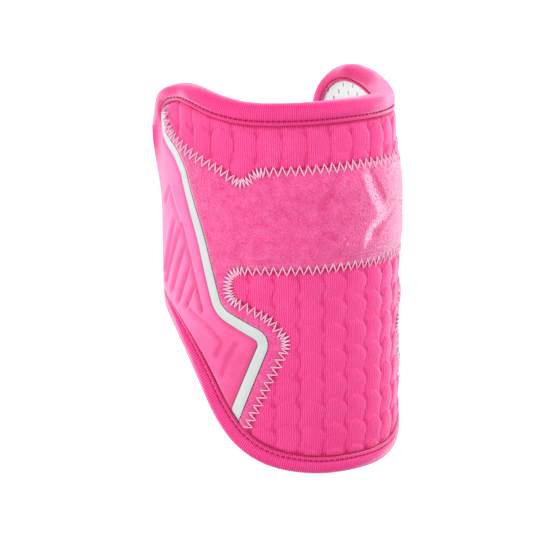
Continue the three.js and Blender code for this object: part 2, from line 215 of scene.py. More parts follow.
def stripeSide(side, clear):  # one side of the stripe, side 1 is the outer one
    middle = stripeLine[:, :2]
    return middle + leftNormals(middle, False) * side * (stripeLine[:, 2:3] / 2 + clear)


def wrap(u, v, n):  # from the flat to the guard, in metres
    angle = u / pattern["radius"]
    turned = np.abs(np.degrees(angle))
    clear = edgeClear(u, v)[0]
    by, vFrom, vTo, angleFrom, angleTo = pattern["rimLean"]
    depart = by * ease(vFrom, vTo, v) * (1 - ease(angleFrom, angleTo, turned))
    by, vFrom, vTo = pattern["lowerTaper"]
    depart = depart + by * (1 - ease(vFrom, vTo, v))
    by, vFrom, vTo, angleFrom, angleTo, reach = pattern["lobeCurl"]
    curl = by * ease(vFrom, vTo, v) * ease(angleFrom, angleTo, turned) * (1 - ease(0, reach, clear))
    share, vFrom, vTo = pattern["lobeSettle"]
    depart = depart + curl * (1 - share * ease(vFrom, vTo, v))
    radius = pattern["radius"] + depart + n
    height = np.maximum(radius * np.cos(angle) + axisHeight, 0)      # cloth lies flat on the floor
    return np.stack([radius * np.sin(angle), v - midV, height], 1) * mm


# Camera, at the photo's angle to the guard
view = {"aside": 37.1, "above": 11.9, "roll": -0.5, "distance": 1441.0, "fieldMm": 257.1,
        "aimV": 82.0, "aimPixel": 281.7, "framePixels": 550, "sensorMm": 36.0}


def addCamera():
    aside, above, roll = (math.radians(view[k]) for k in ("aside", "above", "roll"))
    back = Vector((-math.sin(aside) * math.cos(above), math.sin(above), math.cos(aside) * math.cos(above)))
    up = (Vector((0, 1, 0)) - back * back.y).normalized()
    right = up.cross(back)
    right, up = right * math.cos(roll) + up * math.sin(roll), up * math.cos(roll) - right * math.sin(roll)
    shift = (view["aimPixel"] - view["framePixels"] / 2) * view["fieldMm"] / view["framePixels"]
    aim = Vector((0, view["aimV"] - midV, axisHeight)) - right * shift
    bpy.ops.object.camera_add()
    camera = bpy.context.object
    camera.name = "photoCamera"
    place = Matrix((right, up, back)).transposed().to_4x4()
    place.translation = (aim + back * view["distance"]) * mm
    camera.matrix_world = place
    camera.data.sensor_width = view["sensorMm"]
    camera.data.lens = view["sensorMm"] * view["distance"] / view["fieldMm"]
    camera.data.clip_end = 10
    scene.camera = camera


addCamera()
print("stage: camera")


# Modelling helpers

def clearSelection():
    if bpy.context.mode != "OBJECT":
        bpy.ops.object.mode_set(mode="OBJECT")
    bpy.ops.object.select_all(action="DESELECT")


def onlyActive(piece):
    clearSelection()
    piece.select_set(True)
    bpy.context.view_layer.objects.active = piece


def getPoints(piece):
    points = np.empty(len(piece.data.vertices) * 3)
    piece.data.vertices.foreach_get("co", points)
    return points.reshape(-1, 3)


def setPoints(piece, points):
    piece.data.vertices.foreach_set("co", np.asarray(points, np.float32).ravel())
    piece.data.update()


def setFlat(piece, u, v, n):  # each vertex keeps its place on the flat, for the materials
    values = np.column_stack([u, v, n]).astype(np.float32)
    piece.data.attributes.new("flat", "FLOAT_VECTOR", "POINT").data.foreach_set("vector", values.ravel())


def editAll(piece):  # edit mode, with everything selected
    onlyActive(piece)
    bpy.ops.object.mode_set(mode="EDIT")
    bpy.ops.mesh.select_all(action="SELECT")


def outwardNormals(piece):
    editAll(piece)
    bpy.ops.mesh.normals_make_consistent(inside=False)
    bpy.ops.object.mode_set(mode="OBJECT")


def raiseAll(piece, height):  # the whole flat face is extruded into a closed block
    editAll(piece)
    bpy.ops.mesh.extrude_region_move(TRANSFORM_OT_translate={"value": (0, 0, height)})
    bpy.ops.object.mode_set(mode="OBJECT")
    outwardNormals(piece)


def addGrid(name, columns, rows):  # also gives the column and row of each vertex
    clearSelection()
    bpy.ops.mesh.primitive_grid_add(x_subdivisions=columns, y_subdivisions=rows, size=1)
    piece = bpy.context.object
    piece.name = name
    points = getPoints(piece)
    column = np.round((points[:, 0] + 0.5) * columns).astype(int)
    row = np.round((points[:, 1] + 0.5) * rows).astype(int)
    return piece, column, row


def flatGrid(name, low, high, cell):  # low and high corners in u and v
    columns, rows = (max(1, round((high[k] - low[k]) / cell)) for k in (0, 1))
    piece, column, row = addGrid(name, columns, rows)
    u = low[0] + column * (high[0] - low[0]) / columns
    v = low[1] + row * (high[1] - low[1]) / rows
    setPoints(piece, np.column_stack([u, v, np.zeros(len(u))]))
    return piece, columns, rows


def flatBlock(name, low, high, cell):  # heights run from 0 at the back to 1 at the face
    piece = flatGrid(name, low, high, cell)[0]
    raiseAll(piece, 1)
    return piece


def cutAlong(piece, outline, operation):  # INTERSECT keeps what is inside the outline
    clearSelection()
    bpy.ops.mesh.primitive_circle_add(vertices=len(outline), fill_type="NGON")
    cutter = bpy.context.object
    setPoints(cutter, np.column_stack([outline, np.full(len(outline), -1.0)]))
    raiseAll(cutter, 3)
    onlyActive(piece)
    cut = piece.modifiers.new("cut", "BOOLEAN")
    cut.operation = operation
    cut.solver = "MANIFOLD"
    cut.object = cutter
    bpy.ops.object.modifier_apply(modifier="cut")
    bpy.data.objects.remove(cutter)


def bend(piece, faceAt, backAt, grain=0.0):
    u, v, t = getPoints(piece).T
    face, back = faceAt(u, v), backAt(u, v)
    n = back + (face - back) * t
    if grain:
        n = n + np.random.default_rng(3).normal(0, grain, len(n)) * (t > 0.5)
    setFlat(piece, u, v, n)
    setPoints(piece, wrap(u, v, n))


def setMaterials(piece, *materials):
    piece.data.materials.clear()           # a cut leaves an empty slot behind
    for material in materials:
        piece.data.materials.append(material)


def finishPiece(piece, node=None, angle=40):
    onlyActive(piece)
    bpy.ops.object.shade_smooth_by_angle(angle=math.radians(angle))
    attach(piece, "root")
    if node:
        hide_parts(node)
    print("stage:", piece.name, len(piece.data.polygons), "faces")


# Shared shader groups

def newGroup(name, inputs, outputs):  # inputs as (name, kind, default), outputs as names of values
    group = bpy.data.node_groups.new(name, "ShaderNodeTree")
    for label, kind, value in inputs:
        group.interface.new_socket(label, in_out="INPUT", socket_type=kind).default_value = value
    for label in outputs:
        group.interface.new_socket(label, in_out="OUTPUT", socket_type="NodeSocketFloat")
    return group, group.nodes.new("NodeGroupInput").outputs, group.nodes.new("NodeGroupOutput").inputs


def addNode(tree, kind, links=(), **settings):  # links as (input, output socket or value)
    node = tree.nodes.new(kind)
    for name, value in settings.items():
        setattr(node, name, value)
    for name, source in links:
        if isinstance(source, bpy.types.NodeSocket):
            tree.links.new(source, node.inputs[name])
        else:
            node.inputs[name].default_value = source
    return node


def addMath(tree, operation, a, b=0.0, c=0.0):
    return addNode(tree, "ShaderNodeMath", [(0, a), (1, b), (2, c)], operation=operation).outputs[0]


def weighted(tree, weights, parts):  # sum of the named parts, each times its weight
    total = 0.0
    for name, weight in weights.items():
        total = addMath(tree, "ADD", total, addMath(tree, "MULTIPLY", parts[name], weight))
    return total


def noise(tree, place, scale, detail):
    links = [("Vector", place), ("Scale", scale), ("Detail", detail)]
    return addNode(tree, "ShaderNodeTexNoise", links).outputs[0]


def makeRows():  # rows of thread: 0 between them, 1 on their backs
    inputs = [("Along", "NodeSocketFloat", 0.0), ("Pitch", "NodeSocketFloat", 1.0)]
    group, given, put = newGroup("threadRows", inputs, ["Height"])
    turns = addMath(group, "DIVIDE", given["Along"], given["Pitch"])
    swing = addMath(group, "SINE", addMath(group, "MULTIPLY", turns, math.pi))
    group.links.new(addMath(group, "ABSOLUTE", swing), put["Height"])
    return group


def makeMottle():  # cloudy and fine unevenness of dyed cloth, both about 0.5
    inputs = [("Place", "NodeSocketVector", (0, 0, 0)), ("Cloud", "NodeSocketFloat", 0.1),
              ("Fine", "NodeSocketFloat", 1.0)]
    group, given, put = newGroup("dyeMottle", inputs, ["Tone", "Grain"])
    group.links.new(noise(group, given["Place"], given["Cloud"], 3.0), put["Tone"])
    group.links.new(noise(group, given["Place"], given["Fine"], 4.0), put["Grain"])
    return group


threadRows = makeRows()
dyeMottle = makeMottle()


def newMaterial(name, finish):  # finish holds what is the same all over
    material = bpy.data.materials.new(name)
    material.use_nodes = True
    shader = material.node_tree.nodes["Principled BSDF"]
    shader.inputs["Roughness"].default_value = finish["roughness"]
    shader.inputs["Specular IOR Level"].default_value = finish["specular"]
    shader.inputs["Sheen Weight"].default_value = finish["sheen"]
    shader.inputs["Sheen Roughness"].default_value = finish["sheenRoughness"]
    shader.inputs["Sheen Tint"].default_value = (*finish["sheenTint"], 1)
    return material, material.node_tree, shader


def flatPlace(tree):
    place = addNode(tree, "ShaderNodeAttribute", attribute_name="flat").outputs["Vector"]
    return place, addNode(tree, "ShaderNodeSeparateXYZ", [(0, place)]).outputs


def useGroup(tree, group, **links):
    return addNode(tree, "ShaderNodeGroup", links.items(), node_tree=group).outputs


def threads(tree, along, pitch):
    return useGroup(tree, threadRows, Along=along, Pitch=pitch)["Height"]


def dyeParts(tree, place, finish):  # the dye's unevenness, the first parts of a tone
    cloud, fine = finish["dye"]
    mottle = useGroup(tree, dyeMottle, Place=place, Cloud=cloud, Fine=fine)
    return {"cloud": mottle["Tone"], "grain": mottle["Grain"]}


def shareOf(tree, value, low, high):  # 0 at the low end, 1 at the high one
    ends = [("Value", value), ("From Min", low), ("From Max", high)]
    return addNode(tree, "ShaderNodeMapRange", ends).outputs[0]


def slantSheen(tree, low, high, gain=1.0):  # painted sheen in the base colour, as of standing fibres: from 0 facing the eye to 1 at a slant
    facing = addNode(tree, "ShaderNodeLayerWeight", [("Blend", 0.5)]).outputs["Facing"]
    return shareOf(tree, addMath(tree, "MULTIPLY", facing, gain), low, high)


def colourBy(tree, shader, factor, stops):  # stops as (place, linear colour)
    ramp = addNode(tree, "ShaderNodeValToRGB", [(0, factor)])
    elements = ramp.color_ramp.elements
    while len(elements) < len(stops):
        elements.new(0.5)
    for element, (place, colour) in zip(elements, stops):
        element.position = place
        element.color = (*colour, 1)
    tree.links.new(ramp.outputs[0], shader.inputs["Base Color"])


def bumpBy(tree, shader, height, strength, depth):
    links = [("Height", height), ("Strength", strength), ("Distance", depth * mm)]
    tree.links.new(addNode(tree, "ShaderNodeBump", links).outputs[0], shader.inputs["Normal"])


def dress(tree, shader, finish, parts):  # colour by the tone of the parts, bump by their height
    colourBy(tree, shader, weighted(tree, finish["tone"], parts), finish["stops"])
    if "height" in finish:
        bumpBy(tree, shader, weighted(tree, finish["height"], parts), *finish["bump"])


# Finishes: colour stops are linear, tone and height weigh the named parts, bump is strength and depth,
# dye is the scale of its clouds and of its grain

knitFinish = {
    "stops": [(0.3, (0.50, 0.006, 0.080)), (0.66, (0.88, 0.056, 0.255)), (0.84, (0.93, 0.10, 0.35)),
              (1.0, (0.95, 0.40, 0.62))],
    "tone": {"wales": 0.28, "courses": 0.04, "cloud": 0.14, "grain": 0.18, "depthShade": 0.28, "lightFromAbove": 0.07,
             "slantSheen": 0.24},
    "height": {"wales": 1.0, "courses": 0.35, "grain": 0.6}, "bump": (0.8, 0.3), "dye": (0.09, 1.2),
    "wale": 1.06, "course": 0.8, "wanderScale": 0.25, "wander": 1.6,
    "depthShade": (-2.7, -2.15), "lightFromAbove": (0, 60), "slantSheen": (0.46, 0.84),
    "roughness": 0.8, "specular": 0.2, "sheen": 0.4, "sheenRoughness": 0.22, "sheenTint": (1, 0.93, 0.97),
}


def makeKnit():
    material, tree, shader = newMaterial("pinkKnit", knitFinish)
    place, (u, v, n) = flatPlace(tree)
    parts = dyeParts(tree, place, knitFinish)
    wander = noise(tree, place, knitFinish["wanderScale"], 2.0)
    across = addMath(tree, "MULTIPLY_ADD", wander, knitFinish["wander"], u)
    parts["wales"] = threads(tree, across, knitFinish["wale"])
    parts["courses"] = threads(tree, v, knitFinish["course"])
    # painted shade: the knit is darker down in the quilting grooves
    parts["depthShade"] = shareOf(tree, n, *knitFinish["depthShade"])
    parts["lightFromAbove"] = shareOf(tree, v, *knitFinish["lightFromAbove"])      # painted shade, deeper towards the lower end, where less light falls
    # painted sheen: paler where the knit is seen at a slant
    parts["slantSheen"] = slantSheen(tree, *knitFinish["slantSheen"])
    dress(tree, shader, knitFinish, parts)
    return material


loopFinish = {
    "stops": [(0.2, (0.78, 0.050, 0.225)), (0.32, (0.90, 0.100, 0.330)), (0.46, (0.93, 0.170, 0.430)),
              (0.78, (0.97, 0.560, 0.770))],
    "tone": {"grain": 0.4, "cloud": 0.3, "curls": -0.1, "napSheen": 0.06, "sheenSpeckle": 0.34, "raisedSheen": 0.46,
             "pressed": -0.05},
    "height": {"grain": 1.0, "curls": -0.7}, "bump": (1.0, 0.7), "dye": (0.2, 1.4),
    "curlScale": 1.1, "spark": (0.36, 0.64), "slantSheen": (0.34, 0.62), "gain": 1.4,
    "roughness": 0.9, "specular": 0.15, "sheen": 1.0, "sheenRoughness": 0.4, "sheenTint": (1, 0.96, 0.99),
}


def makeLoop():
    material, tree, shader = newMaterial("pinkLoopPile", loopFinish)
    place = flatPlace(tree)[0]
    parts = dyeParts(tree, place, loopFinish)
    curls = [("Vector", place), ("Scale", loopFinish["curlScale"])]
    parts["curls"] = addNode(tree, "ShaderNodeTexVoronoi", curls).outputs["Distance"]
    # lift: above 0 paints sheen, below 0 paints shade
    lift = addNode(tree, "ShaderNodeAttribute", attribute_name="lift").outputs["Fac"]
    gain = addMath(tree, "MULTIPLY_ADD", lift, loopFinish["gain"], 1.0)
    # painted sheen: paler at a slant, most of all where lift is above 0
    parts["napSheen"] = slantSheen(tree, *loopFinish["slantSheen"], gain)
    spark = shareOf(tree, parts["grain"], *loopFinish["spark"])
    parts["sheenSpeckle"] = addMath(tree, "MULTIPLY", parts["napSheen"], spark)
    parts["raisedSheen"] = addMath(tree, "MULTIPLY", parts["sheenSpeckle"], lift)
    # painted shade: darker where lift is below 0
    parts["pressed"] = shareOf(tree, lift, 0.0, -1.0)
    dress(tree, shader, loopFinish, parts)
    return material


padFinish = {
    "stops": [(0.34, (0.74, 0.070, 0.235)), (0.64, (0.85, 0.150, 0.385)), (0.9, (0.90, 0.225, 0.470))],
    "tone": {"grain": 0.4, "cloud": 0.25, "depthShade": 0.4, "lightFromAbove": 0.12},
    "height": {"grain": 1.0}, "bump": (0.45, 0.3), "dye": (0.1, 1.8),
    "depthShade": (-1.4, 0.7), "lightFromAbove": (30, 110),
    "roughness": 0.8, "specular": 0.2, "sheen": 1.0, "sheenRoughness": 0.4, "sheenTint": (1, 0.9, 0.96),
}


def makePad():
    material, tree, shader = newMaterial("pinkBrushedPad", padFinish)
    place, (u, v, n) = flatPlace(tree)
    parts = dyeParts(tree, place, padFinish)
    # painted shade in the grooves and painted highlight on the swells between them
    parts["depthShade"] = shareOf(tree, n, *padFinish["depthShade"])
    parts["lightFromAbove"] = shareOf(tree, v, *padFinish["lightFromAbove"])       # painted light, paler towards the top
    dress(tree, shader, padFinish, parts)
    return material


tapeFinish = {
    "stops": [(0.25, (0.68, 0.015, 0.145)), (0.6, (0.86, 0.042, 0.245)), (0.86, (0.91, 0.088, 0.335)),
              (1.0, (0.96, 0.44, 0.66))],
    "tone": {"ribs": 0.42, "cloud": 0.2, "grain": 0.25, "depthShade": 0.15, "slantSheen": 0.36},
    "height": {"ribs": 1.0, "grain": 0.6}, "bump": (0.9, 0.35), "dye": (0.12, 1.4),
    "rib": 1.05, "depthShade": (-2.3, -1.2), "slantSheen": (0.34, 0.66),
    "roughness": 0.75, "specular": 0.2, "sheen": 0.35, "sheenRoughness": 0.22, "sheenTint": (1, 0.95, 0.98),
}


def makeTape():  # on the tape u is the distance run along the edge
    material, tree, shader = newMaterial("pinkBindingTape", tapeFinish)
    place, (u, v, n) = flatPlace(tree)
    parts = dyeParts(tree, place, tapeFinish)
    parts["ribs"] = threads(tree, u, tapeFinish["rib"])
    # painted shade: the tape is darker down its rolled sides and in the stitched groove, paler on its crown
    parts["depthShade"] = shareOf(tree, n, *tapeFinish["depthShade"])
    # painted sheen: paler where the tape is seen at a slant
    parts["slantSheen"] = slantSheen(tree, *tapeFinish["slantSheen"])
    dress(tree, shader, tapeFinish, parts)
    return material


elasticFinish = {
    "stops": [(0.3, (0.62, 0.010, 0.105)), (0.55, (0.80, 0.028, 0.185)), (0.85, (0.86, 0.06, 0.26))],
    "tone": {"cords": 0.35, "weft": 0.2, "cloud": 0.25, "grain": 0.2},
    "height": {"cords": 1.0, "weft": 0.35}, "bump": (0.7, 0.35), "dye": (0.12, 1.4),
    "cord": 2.5, "weft": 0.7,
    "roughness": 0.75, "specular": 0.2, "sheen": 0.4, "sheenRoughness": 0.4, "sheenTint": (1, 0.9, 0.95),
}


def makeElastic():
    material, tree, shader = newMaterial("pinkElastic", elasticFinish)
    place, (u, v, n) = flatPlace(tree)
    parts = dyeParts(tree, place, elasticFinish)
    parts["cords"] = threads(tree, v, elasticFinish["cord"])
    parts["weft"] = threads(tree, u, elasticFinish["weft"])
    dress(tree, shader, elasticFinish, parts)
    return material


liningFinish = {
    "stops": [(0.1, (0.64, 0.70, 0.69)), (0.55, (0.83, 0.90, 0.89))],
    "tone": {"knit": 0.5, "cloud": 0.6}, "height": {"knit": 1.0}, "bump": (0.5, 0.2), "dye": (0.1, 1.5),
    "yarn": 0.55,
    "roughness": 0.85, "specular": 0.2, "sheen": 0.2, "sheenRoughness": 0.4, "sheenTint": (1, 1, 1),
}


def makeLiningCloth():
    material, tree, shader = newMaterial("whiteMesh", liningFinish)
    place, (u, v, n) = flatPlace(tree)
    parts = dyeParts(tree, place, liningFinish)
    wales, courses = (threads(tree, way, liningFinish["yarn"]) for way in (u, v))
    parts["knit"] = addMath(tree, "MULTIPLY", wales, courses)
    dress(tree, shader, liningFinish, parts)
    return material


trimFinish = {
    "stops": [(0.35, (0.54, 0.580, 0.562)), (0.65, (0.60, 0.642, 0.624))],
    "tone": {"cloud": 0.5, "grain": 0.5}, "height": {"grain": 1.0}, "bump": (0.2, 0.15), "dye": (0.15, 1.6),
    "roughness": 0.45, "specular": 0.4, "sheen": 0.0, "sheenRoughness": 0.5, "sheenTint": (1, 1, 1),
}
slotFinish = {
    "stops": [(0.3, (0.05, 0.05, 0.055)), (0.7, (0.14, 0.14, 0.15))],
    "tone": {"grain": 1.0}, "dye": (0.4, 3.0),
    "roughness": 0.95, "specular": 0.1, "sheen": 0.0, "sheenRoughness": 0.5, "sheenTint": (1, 1, 1),
}


def makeDyed(name, finish):  # nothing but the dye's unevenness
    material, tree, shader = newMaterial(name, finish)
    dress(tree, shader, finish, dyeParts(tree, flatPlace(tree)[0], finish))
    return material


threadFinish = {
    "tone": {"strands": 1.0}, "height": {"strands": 1.0}, "bump": (0.4, 0.1), "strand": 2500.0,
    "sheenRoughness": 0.4, "sheenTint": (1, 1, 1),
}
paleThreadFinish = {
    **threadFinish, "stops": [(0.35, (0.84, 0.36, 0.57)), (0.6, (0.95, 0.68, 0.82))],
    "roughness": 0.55, "specular": 0.3, "sheen": 0.3,
}
# painted shade: the topstitch thread is near-black crimson, the shade of its sunk stitches and their holes
shadedThreadFinish = {
    **threadFinish, "stops": [(0.35, (0.30, 0.003, 0.045)), (0.6, (0.46, 0.008, 0.080))],
    "roughness": 0.7, "specular": 0.2, "sheen": 0.0,
}


def makeThread(name, finish):
    material, tree, shader = newMaterial(name, finish)
    spot = addNode(tree, "ShaderNodeTexCoord").outputs["Object"]
    dress(tree, shader, finish, {"strands": noise(tree, spot, finish["strand"], 2.0)})
    return material


pinkKnit = makeKnit()
pinkLoop = makeLoop()
pinkPad = makePad()
pinkTape = makeTape()
pinkElastic = makeElastic()
whiteMesh = makeLiningCloth()
whiteTrim = makeDyed("whiteTrim", trimFinish)
slotShade = makeDyed("shadeInSlots", slotFinish)
paleThread = makeThread("paleThread", paleThreadFinish)
shadedThread = makeThread("shadedThread", shadedThreadFinish)
print("stage: finishes")


# Heights of the faces

def levelAt(height):  # a face at one height all over
    return lambda u, v: np.full(len(u), height)


padBack = levelAt(pattern["padBack"])


def armFace(u, v):  # the arms of the loop frame lie lower than its band
    by, vFrom, vTo, uFrom, uTo = pattern["armDrop"]
    return by * (1 - ease(vFrom, vTo, v)) * (1 - ease(uFrom, uTo, np.abs(u)))


def underBinding(u, v, face):  # panels dip under the binding's lip
    clear, width = edgeClear(u, v)
    share = ease(*pattern["seatReach"], clear - width)
    return pattern["edgeSeat"] + (face - pattern["edgeSeat"]) * share


def seamDistance(u, v):
    return np.minimum(lineDistance(u, v, upperSeam), lineDistance(u, v, lowerSeam))


def frontShare(u):  # seams lie deepest across the front
    return 1 - ease(*pattern["frontReach"], np.abs(u))


# Knit: a sheet held along the quilting lines and blown up between them
knit = {"crest": -1.1, "groove": -2.7, "puffWidth": 12.05, "puffHeight": 11.7, "wave": 0.9, "arch": 0.4,
        "heldAside": 0.93, "heldAlong": 0.045, "slope": 0.55, "fullness": 0.5, "cell": 0.6,
        "seamHeight": -2.8, "seamSide": -1.6, "seamReach": 3.4}
upperQuilt = {"low": (-112, 130), "high": (112, 172), "grooveU": 0.3, "bulgeV": 151.5, "waveLength": 23.4,
              "creaseV": 159.0}
lowerQuilt = {"low": (-66, 2), "high": (72, 98), "grooveU": -3.8, "bulgeV": 87.5, "waveLength": 11.7,
              "creaseV": 93.3}
cloth = {"cell": 0.9, "unit": 10.0, "frames": 20, "pressure": 4.0, "quality": 4, "creaseHold": 0.6,
         "fullRise": 97}   # percentile taken as the height of a full puff


def quiltPlace(u, v, quilt):  # across a puff from -1 to 1, and up it from 0 to 1
    swing = knit["wave"] * (1 - np.cos(2 * np.pi * (v - quilt["bulgeV"]) / quilt["waveLength"]))
    across = (u - quilt["grooveU"] + swing) / knit["puffWidth"]
    a = (across - np.floor(across)) * 2 - 1
    return a, ((v - quilt["creaseV"]) / knit["puffHeight"] + knit["arch"] * a * a) % 1


def plainPuffs(u, v, quilt):  # stands in for the blown sheet where there is none
    a, up = quiltPlace(u, v, quilt)
    return (1 - a ** 2) * (0.7 + 0.3 * (1 - (2 * up - 1) ** 2))


def blownPuffs(quilt):
    low, high = quilt["low"], quilt["high"]
    sheet, columns, rows = flatGrid("blownSheet", low, high, cloth["cell"])
    points = getPoints(sheet)
    a, up = quiltPlace(points[:, 0], points[:, 1], quilt)
    held = sheet.vertex_groups.new(name="held")
    crease = np.minimum(up, 1 - up) < knit["heldAlong"]
    held.add(np.flatnonzero(crease).tolist(), cloth["creaseHold"], "REPLACE")
    held.add(np.flatnonzero(np.abs(a) > knit["heldAside"]).tolist(), 1.0, "REPLACE")
    setPoints(sheet, points / cloth["unit"])
    puff = sheet.modifiers.new("puff", "CLOTH")
    puff.settings.quality = cloth["quality"]
    puff.settings.vertex_group_mass = "held"
    puff.settings.use_pressure = True
    puff.settings.uniform_pressure_force = cloth["pressure"]
    puff.settings.effector_weights.gravity = 0
    puff.collision_settings.use_collision = False
    puff.point_cache.frame_end = cloth["frames"]
    for number in range(1, cloth["frames"] + 1):
        scene.frame_set(number)
    onlyActive(sheet)
    bpy.ops.object.modifier_apply(modifier="puff")
    rise = getPoints(sheet)[:, 2].reshape(rows + 1, columns + 1)
    bpy.data.objects.remove(sheet)
    scene.frame_set(1)
    rise = np.clip(rise / np.percentile(rise, cloth["fullRise"]), 0, 1)
    print("stage: blown sheet", rise.shape, "mean rise", round(float(rise.mean()), 2))

    def riseAt(u, v):
        x = np.clip((u - low[0]) / (high[0] - low[0]) * columns, 0, columns - 1e-6)
        y = np.clip((v - low[1]) / (high[1] - low[1]) * rows, 0, rows - 1e-6)
        i, j = x.astype(int), y.astype(int)
        fx, fy = x - i, y - j
        lower = rise[j, i] * (1 - fx) + rise[j, i + 1] * fx
        upper = rise[j + 1, i] * (1 - fx) + rise[j + 1, i + 1] * fx
        return lower * (1 - fy) + upper * fy

    return riseAt


def makeKnitFace(quilt):
    blown = blownPuffs(quilt)

    def face(u, v):
        up = quiltPlace(u, v, quilt)[1]
        puffs = blown(u, v) if blown else plainPuffs(u, v, quilt)
        rise = puffs ** knit["fullness"] * (1 - knit["slope"] * (1 - up))   # fullest near its upper end
        n = knit["groove"] + (knit["crest"] - knit["groove"]) * rise
        seam = knit["seamSide"] + (knit["seamHeight"] - knit["seamSide"]) * frontShare(u)
        return underBinding(u, v, seam + (n - seam) * ease(0, knit["seamReach"], seamDistance(u, v)))

    return face


upperKnitFace = makeKnitFace(upperQuilt)
lowerKnitFace = makeKnitFace(lowerQuilt)

# Pile: shallow lines are pressed into it. Sheen is painted into its colour beside other lines, least near
# the front, and shade is painted along others
loop = {"pressed": -0.55, "wide": 1.2, "brim": (0.6, 1.4),
        "lines": [[(72, 137), (20, 113.9), (10, 108)],
                  [(9.5, 137.2), (19.5, 122.2), (26, 121.5), (47, 116.2), (60, 98.5)]],
        "shadeWide": 1.9, "shadeLines": [[(12, 133.4), (18.7, 123.2)], [(17.6, 112.2), (11.7, 109.3)]],
        "sheenLines": [[(4.5, 136.5), (18, 115.5)], [(4, 105), (8.5, 110.5), (18, 115.5)]],
        "sheenFrom": (1.5, 7), "sheenWide": 2.6,
        "lineV": 100.5, "lineDeep": -0.4, "lineWide": 0.7, "lineReach": 58,
        "seamDrop": -1.5, "seamReach": 3.0, "seamSide": 0.5,
        "bandDrop": -1.2, "bandReach": 10.0, "bandLow": (84, 96), "sideDrop": -0.5, "sideReach": 1.2,
        "low": (-116, 14), "high": (116, 168), "grain": 0.06, "cell": 0.75}


def nearestLine(u, v, lines):  # lines are given for the half with u above 0
    return np.min([lineDistance(np.abs(u), v, np.array(line, float)) for line in lines], axis=0)


def pressedShare(u, v, lines, wide):  # 1 along the lines
    return 1 - ease(*loop["brim"], nearestLine(u, v, lines) / wide)


def paintedLightAt(u, v):  # above 0 where sheen is painted into the pile's colour, below 0 where shade is painted
    near = np.exp(-(nearestLine(u, v, loop["sheenLines"]) / loop["sheenWide"]) ** 2)
    # flat: the share of painted shade along its lines
    flat = pressedShare(u, v, loop["shadeLines"], loop["shadeWide"])
    return near * ease(*loop["sheenFrom"], np.abs(u)) * (1 - flat) - flat


def seamFall(u, v):  # the frame falls towards its sewn edges
    away = seamDistance(u, v)
    front = frontShare(u)
    share = loop["seamSide"] + (1 - loop["seamSide"]) * front
    fall = loop["seamDrop"] * share * (1 - ease(0, loop["seamReach"], away))
    sag = loop["bandDrop"] * front * (1 - ease(0, loop["bandReach"], away))
    return fall + sag * ease(*loop["bandLow"], v)


def loopFace(u, v):
    pressed = loop["pressed"] * pressedShare(u, v, loop["lines"], loop["wide"])
    hemLine = np.exp(-((v - loop["lineV"]) / loop["lineWide"]) ** 2) * (np.abs(u) < loop["lineReach"])
    face = armFace(u, v) + pressed + seamFall(u, v) + loop["lineDeep"] * hemLine
    beside = lineDistance(np.abs(u), v, stripeSide(-1, gap))
    return underBinding(u, v, face + loop["sideDrop"] * (1 - ease(0, loop["sideReach"], beside)) ** 2)


wing = {"deep": -2.2, "wide": 1.6, "swell": 1.1, "swellWide": 3.6, "sideDrop": -0.9, "sideReach": 2.4,
        "low": (40, 16), "high": (128, 166), "cell": 0.7,
        "grooves": [        # share of the full depth, then the line that it follows
            (1.0, [(89.6, 113), (86.8, 106.2), (82.8, 94.8), (80, 86.4), (76.8, 74.8)]),
            (0.8, [(95.5, 114), (107, 89)]),
            (1.0, [(91.2, 110), (105.2, 84.5)]),
            (1.0, [(87.3, 103.5), (98.8, 81)]),
            (1.0, [(84.3, 94), (92.8, 77)]),
            (1.0, [(81, 85.5), (86.6, 75.5)]),
            (0.6, [(84, 74), (76.8, 70), (71.2, 66), (66, 60.8), (69.2, 54.8)]),
            (0.6, [(58.8, 60.8), (63.6, 52.8), (66.4, 45.6)]),
            (0.5, [(89.6, 113), (95, 120), (99.5, 128.5)]),
            (0.6, [(99.5, 128.5), (105, 122)]),
        ]}


def wingFace(u, v):
    across = np.abs(u)
    deep = np.zeros(len(u))
    swell = np.zeros(len(u))
    for share, line in wing["grooves"]:
        away = lineDistance(across, v, np.array(line, float))
        deep = np.maximum(deep, share * np.exp(-(away / wing["wide"]) ** 2))
        swell = np.maximum(swell, share * np.exp(-(away / wing["swellWide"]) ** 2))
    face = armFace(u, v) + wing["deep"] * deep + wing["swell"] * swell
    beside = lineDistance(across, v, stripeSide(1, gap))
    return underBinding(u, v, face + wing["sideDrop"] * (1 - ease(0, wing["sideReach"], beside)) ** 2)


# Panels

def wallOutline():  # where the panels end, inside the binding
    return insetEdge(*pattern["wall"])


def besideSeam(seam, distance):  # the area above the upper seam or below the lower one
    return seam[:, :2] + leftNormals(seam[:, :2], False) * distance


def outsideStripe(side):  # the area from a stripe's side outwards
    line = stripeSide(side, gap)
    top = line[0] + (0, farPast)
    below = (line[-1, 0] + pattern["stripeRunOn"], -farPast)
    return np.concatenate([[(pastRear, top[1]), top], line, [below, (pastRear, -farPast)]])


def makeKnitPanel(name, quilt, outline, face, node):
    panel = flatBlock(name, quilt["low"], quilt["high"], knit["cell"])
    cutAlong(panel, outline, "INTERSECT")
    cutAlong(panel, wallOutline(), "INTERSECT")
    bend(panel, face, padBack)
    setMaterials(panel, pinkKnit)
    finishPiece(panel, node)


def layPaintedLight(piece):  # each vertex keeps a lift: above 0 for painted sheen, below 0 for painted shade
    flat = np.empty(len(piece.data.vertices) * 3)
    piece.data.attributes["flat"].data.foreach_get("vector", flat)
    u, v = flat.reshape(-1, 3).T[:2]
    lift = paintedLightAt(u, v).astype(np.float32)
    piece.data.attributes.new("lift", "FLOAT", "POINT").data.foreach_set("value", lift)


